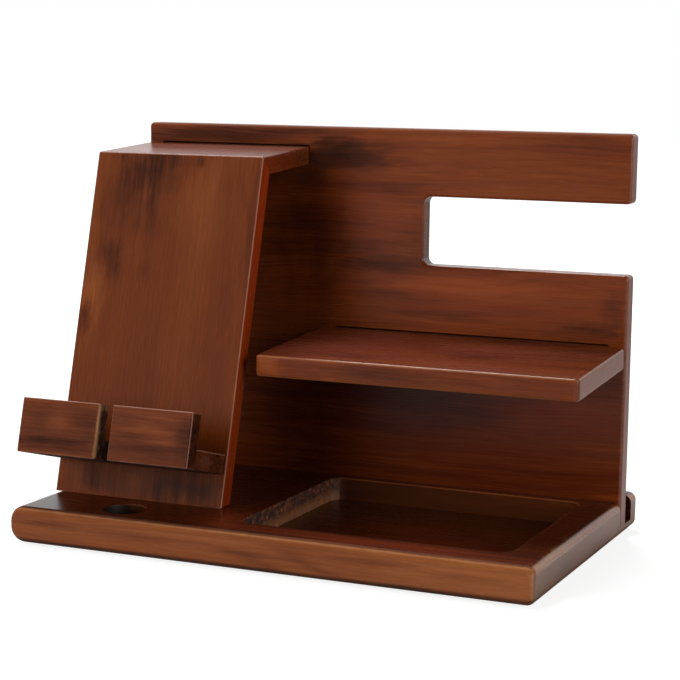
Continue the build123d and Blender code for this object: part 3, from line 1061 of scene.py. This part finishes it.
def make_screw_tool(x):
    """A countersunk hole from below."""
    foot = BASE_LOW[Z] - OVERRUN
    start = BASE_LOW[Z] + SCREW_MOUTH_DEPTH
    tool = rod("screw_tool", (x, SCREW_ROW, foot), SCREW_MOUTH, start - foot, groove_wood)
    narrower = SCREW_BORE / SCREW_MOUTH
    steps = [(SCREW_CONE, narrower, narrower), (GROOVE_FLOOR, 1, 1)]
    draw_up(tool, start, (x, SCREW_ROW, start), steps)
    return tool


def make_base():
    """The base board, in one piece."""
    board = block("routed_base_board", BASE_LOW, BASE_HIGH, base_wood)
    for end, radius in ((BASE_LOW[X], BASE_LEFT_RADIUS), (BASE_HIGH[X], BASE_RIGHT_RADIUS)):

        def is_at_end(edge, middle):
            return runs_along(edge, Y) and abs(middle.x - end) < NEAR

        round_edges(board, is_at_end, radius, END_STEPS)

    def is_at_side(edge, middle):
        return abs(abs(middle.y) - BASE_HIGH[Y]) < NEAR

    round_edges(board, is_at_side, BASE_EDGE, ARRIS_STEPS)
    carve(board, make_tray_tool())
    carve(board, make_recess_tool())
    carve(board, make_groove_tool())
    for x in SCREW_PLACES:
        carve(board, make_screw_tool(x))
    finish(board, "root", "base_board")


# The phone rest: a ledge with a tongue, and two lip blocks with a sawn gap between them


def lay_rest(piece):
    """Moves a piece from the rest's own frame to its place on the leaning backrest."""
    pick(piece)
    piece.location = metres(REST_ORIGIN)
    piece.rotation_euler = (math.radians(-BACKREST_LEAN), 0, 0)
    bpy.ops.object.transform_apply(location=True, rotation=True, scale=True)


def dowel_tool(x):
    """The hole of one dowel, through the joint of lip and ledge."""
    start = (x, LIP_BACK + LEDGE_DOWEL, LEDGE_THICKNESS / 2)
    return rod("dowel_tool", start, DOWEL_BORE, LEDGE_DOWEL + LIP_DOWEL, sawn_wood, turn=(90, 0, 0))


def dowel_places(left, right):
    """Where the two dowels of a lip block are, along X."""
    return left + DOWEL_MARGIN, right - DOWEL_MARGIN


def make_lip(name, left, right, sawn_end, node):
    """A lip block, its free arrises eased and its end in the gap left rough from the saw."""
    lip = block(name, (left, LIP_FRONT, 0), (right, LIP_BACK, LIP_HEIGHT), lip_wood)
    round_edges(lip, lambda edge, middle: middle.y < LIP_BACK - NEAR, REST_EDGE, REST_EDGE_STEPS)
    lip.data.materials.append(chipped_wood)
    outward = 1 if sawn_end == right else -1

    def is_sawn(face, middle=None):
        return face.normal.x * outward > STRAIGHT

    for face in filter(is_sawn, lip.data.polygons):
        face.material_index = 1
    tear(lip, is_sawn, X, cuts=22, depth=0.7, fade=0.8, seed=(outward, 3, 0))
    for x in dowel_places(left, right):
        carve(lip, dowel_tool(x))
    lay_rest(lip)
    finish(lip, "phone_rest", node)


def make_ledge():
    """The ledge, with its tongue, the gap for the cable and the dowels' holes."""
    ledge = block("notched_ledge", (LIP_LEFT, LIP_BACK, 0), (LIP_RIGHT, 0, LEDGE_THICKNESS), ledge_wood)
    round_edges(ledge, lambda edge, middle: runs_along(edge, Y), REST_EDGE, REST_EDGE_STEPS)
    low = (LIP_LEFT + LEDGE_SHOULDER, TONGUE_START, -TONGUE_SAG)
    high = (LIP_RIGHT - LEDGE_SHOULDER, TONGUE_END, LEDGE_THICKNESS)
    tongue = block("ledge_tongue", low, high, ledge_wood)

    def is_at_tip(edge, middle):
        return middle.y > TONGUE_END - NEAR

    round_edges(tongue, is_at_tip, TONGUE_EDGE, TONGUE_EDGE_STEPS)
    carve(ledge, tongue, "UNION")
    low = (GAP_LEFT, LIP_BACK - OVERRUN, -OVERRUN)
    saw = block("saw_tool", low, (GAP_RIGHT, GAP_END, LEDGE_THICKNESS + OVERRUN), sawn_wood)

    def is_right_wall(face, middle):
        return face.normal.x > STRAIGHT

    tear(saw, is_right_wall, X, cuts=30, depth=0.5, fade=1.0, seed=(5, 0, 0))
    carve(ledge, saw)
    for left, right in ((LIP_LEFT, GAP_LEFT), (GAP_RIGHT, LIP_RIGHT)):
        for x in dowel_places(left, right):
            carve(ledge, dowel_tool(x))
    lay_rest(ledge)
    finish(ledge, "phone_rest", "rest_ledge")


make_base()
make_lip("left_lip_block", LIP_LEFT, GAP_LEFT, GAP_LEFT, "lip_block_left")
make_lip("right_lip_block", GAP_RIGHT, LIP_RIGHT, GAP_RIGHT, "lip_block_right")
make_ledge()


# Camera, in the photograph's place. Its angles are in degrees, its shift is a share of the picture
# and its lens is given for a sensor of 36 mm.

CAMERA_TARGET = (0, 25, 92)
CAMERA_YAW = 23.32
CAMERA_PITCH = 8.94
CAMERA_ROLL = 0.70
CAMERA_DISTANCE = 1078.7
CAMERA_LENS = 101.04
CAMERA_SENSOR = 36
CAMERA_SHIFT = (-0.01504, 0.04146)
CAMERA_NEAREST = 10


def make_camera():
    """The camera looks at its target from the right and a little above."""
    data = bpy.data.cameras.new("camera")
    data.lens = CAMERA_LENS
    data.sensor_width = CAMERA_SENSOR
    data.shift_x, data.shift_y = CAMERA_SHIFT
    data.clip_start = CAMERA_NEAREST * MM
    camera = bpy.data.objects.new("camera", data)
    bpy.context.scene.collection.objects.link(camera)
    aim = Matrix.Translation(metres(CAMERA_TARGET))
    aim @= Matrix.Rotation(math.radians(CAMERA_YAW), 4, "Z")
    aim @= Matrix.Rotation(math.radians(90 - CAMERA_PITCH), 4, "X")
    aim @= Matrix.Rotation(math.radians(CAMERA_ROLL), 4, "Z")
    camera.matrix_world = aim @ Matrix.Translation((0, 0, CAMERA_DISTANCE * MM))
    bpy.context.scene.camera = camera


# Floor, world and lamps

WHITE = (1, 1, 1, 1)
FLOOR_GREY = (0.38, 0.38, 0.38, 1)
FLOOR_SIZE = 12000

# How bright the floor is to the camera near the object and what is added far from it, and how
# bright it is in the varnish. The strip on the right of the object counts more there.
FLOOR_SEEN = 0.84
FLOOR_SEEN_FAR = 0.3
FLOOR_MIRRORED = 0.25
STRIP_MIRRORED = 2.1

# How bright the world is as light, to the camera and, behind the object, in the varnish
WORLD_LIGHT = 0.06
WORLD_SEEN = 0.94
WORLD_MIRRORED = 1.05

LAMP_TARGET = (0, 0, 100)


def make_floor():
    """A wide white floor that shows as white and keeps the object's shadow."""
    bpy.ops.mesh.primitive_plane_add(size=FLOOR_SIZE * MM, location=(0, 0, 0))
    floor = bpy.context.object
    floor.name = "floor"
    material, tree, shader = new_material("white_floor")
    shader.inputs["Base Color"].default_value = FLOOR_GREY
    shader.inputs["Roughness"].default_value = 0.9
    shader.inputs["Specular IOR Level"].default_value = 0.0
    shader.inputs["Emission Color"].default_value = WHITE
    path = add(tree, "ShaderNodeLightPath").outputs
    place = add(tree, "ShaderNodeTexCoord").outputs["Object"]
    x, y, z = add(tree, "ShaderNodeSeparateXYZ", {"Vector": place}).outputs
    # The varnish mirrors the floor from beside the object's right end on, and from behind it
    beside = ease_over(tree, x, 155, 170)
    strip = maths(tree, "MULTIPLY", beside, ease_over(tree, x, 320, 200))
    beyond = maths(tree, "MAXIMUM", ease_over(tree, y, 100, 350), beside)
    beyond = maths(tree, "MULTIPLY_ADD", strip, STRIP_MIRRORED, beyond)
    far = ease_over(tree, vectors(tree, "LENGTH", place), 300, 1500)
    seen = maths(tree, "MULTIPLY_ADD", far, FLOOR_SEEN_FAR, FLOOR_SEEN)
    seen = maths(tree, "MULTIPLY", path["Is Camera Ray"], seen)
    mirrored = maths(tree, "MULTIPLY", beyond, FLOOR_MIRRORED)
    mirrored = maths(tree, "MULTIPLY", path["Is Glossy Ray"], mirrored)
    tree.links.new(maths(tree, "ADD", seen, mirrored), shader.inputs["Emission Strength"])
    floor.data.materials.append(material)


def make_world():
    """White where it is seen, and a softer white as light."""
    world = bpy.data.worlds.new("studio")
    bpy.context.scene.world = world
    world.use_nodes = True
    tree = world.node_tree
    path = add(tree, "ShaderNodeLightPath").outputs
    towards = add(tree, "ShaderNodeTexCoord").outputs["Generated"]
    x, y, z = add(tree, "ShaderNodeSeparateXYZ", {"Vector": towards}).outputs
    # The backdrop is what lies behind the object, up to a height, as parts of a direction
    backdrop = maths(tree, "MULTIPLY", ease(tree, y, -0.1, 0.4), ease(tree, z, 0.6, 0.35))
    mirrored = maths(tree, "MULTIPLY", backdrop, WORLD_MIRRORED)
    mirrored = maths(tree, "MULTIPLY", path["Is Glossy Ray"], mirrored)
    seen = maths(tree, "MULTIPLY", path["Is Camera Ray"], WORLD_SEEN)
    strength = maths(tree, "ADD", WORLD_LIGHT, maths(tree, "ADD", seen, mirrored))
    tree.links.new(strength, tree.nodes["Background"].inputs["Strength"])
    tree.nodes["Background"].inputs["Color"].default_value = WHITE


def add_lamp(name, place, width, watts, mirrored=True):
    """A square soft box of light that faces the object. Its own mirror image can be left out."""
    data = bpy.data.lights.new(name, "AREA")
    data.shape = "SQUARE"
    data.size = width * MM
    data.energy = watts
    lamp = bpy.data.objects.new(name, data)
    bpy.context.scene.collection.objects.link(lamp)
    lamp.location = metres(place)
    lamp.rotation_euler = (metres(LAMP_TARGET) - metres(place)).to_track_quat("-Z", "Y").to_euler()
    lamp.visible_glossy = mirrored


make_camera()
make_floor()
make_world()
add_lamp("key_lamp", (-940, -1630, 760), width=1500, watts=31, mirrored=False)
add_lamp("right_lamp", (1870, -500, 620), width=800, watts=15)
add_lamp("top_lamp", (-640, 770, 1830), width=900, watts=34)

bpy.context.scene.view_settings.view_transform = "Standard"
